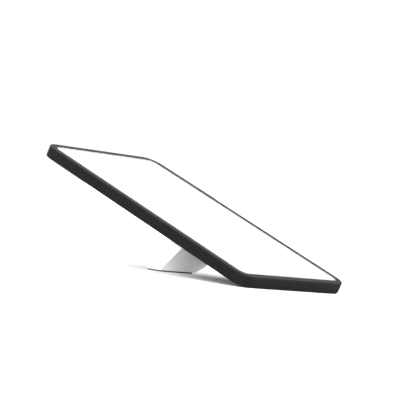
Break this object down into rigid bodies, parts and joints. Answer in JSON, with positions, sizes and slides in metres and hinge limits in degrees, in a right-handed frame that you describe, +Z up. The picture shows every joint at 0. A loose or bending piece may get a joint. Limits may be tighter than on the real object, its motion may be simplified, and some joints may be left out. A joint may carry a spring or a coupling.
{
  "type": "video magnifier",
  "caption": "Tablet-shaped video magnifier with a lit screen, rear camera and lamps, side buttons and a fold-out leg on its back.",
  "frame": {"origin": "on the table under the middle of the whole object, with its leg open", "axes": "+Z up, the user on the -Y side, X along the screen's short side"},
  "size_m": [0.16, 0.2578, 0.1055],
  "materials": {
    "housing_plastic": "fine matte texture",
    "bezel_plastic": "fine satin texture",
    "cover_glass": "polished",
    "black_film": "matt",
    "lit_screen": "evenly lit white",
    "acrylic": "clear, dotted",
    "steel": "stamped",
    "magnesium": "die cast",
    "circuit_board": "solder resist",
    "chip_epoxy": "moulded",
    "battery_pouch": "foil",
    "polyimide": "amber film",
    "optical_glass": "coated",
    "led_phosphor": "cured",
    "frosted_plastic": "frosted",
    "leg_plastic": "white, fine satin",
    "rubber": "matt",
    "key_plastic": "satin",
    "signal_key": "satin",
    "screw_steel": "black zinc",
    "washer_steel": "spring steel"
  },
  "bodies": {
    "slab": {"rear_housing": "housing_plastic", "front_bezel": "bezel_plastic", "cover_glass": "cover_glass", "light_seal_tape": "black_film", "lcd_panel": "lit_screen", "light_guide": "acrylic", "led_bar": "circuit_board", "backlight_plate": "steel", "midframe": "magnesium", "battery_left": "battery_pouch", "battery_right": "battery_pouch", "battery_lead": "polyimide", "main_board": "circuit_board", "board_chips": "chip_epoxy", "processor_shield": "steel", "camera_board": "circuit_board", "camera_barrel": "chip_epoxy", "camera_lens": "optical_glass", "camera_window": "optical_glass", "camera_flex": "polyimide", "display_flex": "polyimide", "lamp_windows": "frosted_plastic", "lamp_leds": "led_phosphor", "lamp_boards": "circuit_board", "speakers": "chip_epoxy", "usb_socket": "steel", "usb_board": "circuit_board", "key_board": "circuit_board", "key_switches": "chip_epoxy", "hinge_bracket_left": "steel", "hinge_bracket_right": "steel", "hinge_nut_plate": "steel", "bracket_screws": "screw_steel", "housing_screws": "screw_steel", "hinge_pin": "steel", "friction_washers": "washer_steel", "edge_feet": "rubber", "leg_bumpers": "rubber"},
    "leg": {"stand_leg": "leg_plastic", "leg_cover": "leg_plastic", "leg_cover_screws": "screw_steel", "stand_foot": "rubber", "pin_plug": "leg_plastic"},
    "zoom_out_button": {"zoom_out_button": "key_plastic"},
    "zoom_in_button": {"zoom_in_button": "key_plastic"},
    "mode_button": {"mode_button": "key_plastic"},
    "freeze_button": {"freeze_button": "key_plastic"},
    "power_button": {"power_button": "signal_key"}
  },
  "joints": [
    {"name": "stand_hinge", "type": "hinge", "parent": "slab", "child": "leg", "pos_m": [0, -0.01472, 0.03256], "axis": [-1, 0, 0], "range_deg": [0, 114.4]},
    {"name": "zoom_out_press", "type": "slide", "parent": "slab", "child": "zoom_out_button", "axis": [-1, 0, 0], "range_m": [0, 0.00045], "stiffness_N_per_m": 3000, "springref_m": -0.00015},
    {"name": "zoom_in_press", "type": "slide", "parent": "slab", "child": "zoom_in_button", "axis": [-1, 0, 0], "range_m": [0, 0.00045], "stiffness_N_per_m": 3000, "springref_m": -0.00015},
    {"name": "mode_press", "type": "slide", "parent": "slab", "child": "mode_button", "axis": [-1, 0, 0], "range_m": [0, 0.00045], "stiffness_N_per_m": 3000, "springref_m": -0.00015},
    {"name": "freeze_press", "type": "slide", "parent": "slab", "child": "freeze_button", "axis": [-1, 0, 0], "range_m": [0, 0.00045], "stiffness_N_per_m": 3000, "springref_m": -0.00015},
    {"name": "power_press", "type": "slide", "parent": "slab", "child": "power_button", "axis": [-1, 0, 0], "range_m": [0, 0.00045], "stiffness_N_per_m": 3000, "springref_m": -0.00015}
  ]
}
